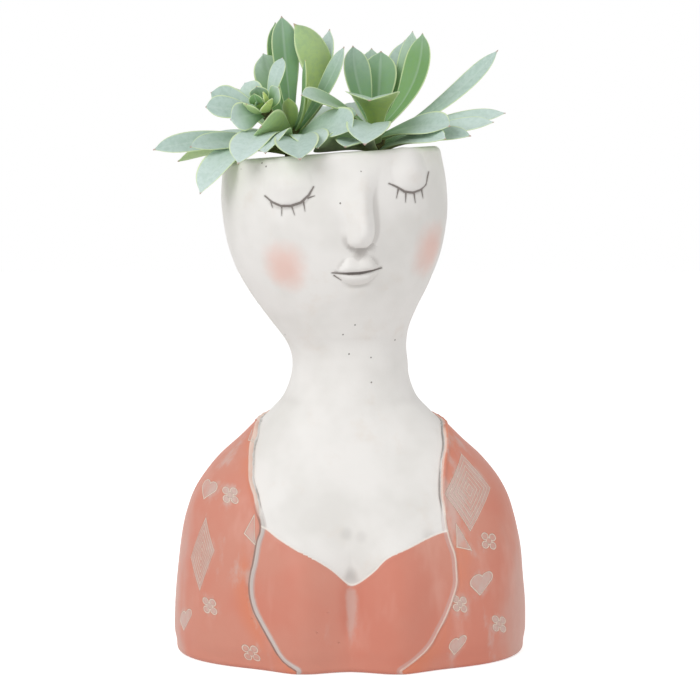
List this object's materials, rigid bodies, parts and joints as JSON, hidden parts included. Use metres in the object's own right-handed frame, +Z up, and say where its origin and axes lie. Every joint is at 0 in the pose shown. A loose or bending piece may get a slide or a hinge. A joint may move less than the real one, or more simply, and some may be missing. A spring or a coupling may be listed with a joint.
{
  "type": "planter",
  "caption": "Hollow cement head planter with a sleeping face and a painted shawl; its lift-out pot holds rosette succulents.",
  "frame": {"origin": "middle of the resting plane, under the bust", "axes": "+Z up; the figure faces -Y; +X is the figure's left, the viewer's right"},
  "size_m": [0.1882, 0.1194, 0.3177],
  "materials": {
    "painted_cement": "matt off-white paint on cast cement, blushed cheeks, rose shawl with a white wash",
    "base_felt": "pressed wool felt",
    "plug_rubber": "matt black rubber",
    "pot_plastic": "terracotta brown moulded plastic",
    "mesh_plastic": "dark green mesh",
    "expanded_clay": "fired clay pebbles",
    "potting_mix": "dark gritty soil",
    "pumice_grit": "pale pumice grit",
    "succulent_stem": "woody green stem",
    "succulent_leaf": "waxy blue-green leaf with bloom, greener at its base, pink-brown point"
  },
  "bodies": {
    "planter": {"bust_casting": "painted_cement", "base_felt": "base_felt"},
    "plug": {"drain_plug": "plug_rubber"},
    "planted_pot": {"nursery_pot": "pot_plastic", "drain_mesh": "mesh_plastic", "clay_drainage": "expanded_clay", "growing_mix": "potting_mix", "grit_dressing": "pumice_grit", "left_rosette_stem": "succulent_stem", "right_plant_stem": "succulent_stem", "back_plant_stem": "succulent_stem", "left_rosette_heart": "succulent_leaf", "left_rosette_leaves": "succulent_leaf", "right_plant_upright_leaves": "succulent_leaf", "right_plant_front_leaves": "succulent_leaf", "right_plant_low_leaves": "succulent_leaf", "right_plant_rear_leaves": "succulent_leaf", "back_plant_upright_leaves": "succulent_leaf", "back_plant_front_leaves": "succulent_leaf", "back_plant_long_leaves": "succulent_leaf", "back_plant_rear_leaves": "succulent_leaf"}
  },
  "joints": [
    {"name": "pot_lift", "type": "slide", "parent": "planter", "child": "planted_pot", "axis": [-0.0698, 0, 0.9976], "range_m": [0, 0.11]},
    {"name": "drain_plug_pull", "type": "slide", "parent": "planter", "child": "plug", "axis": [0, 0, -1], "range_m": [0, 0.03]}
  ]
}
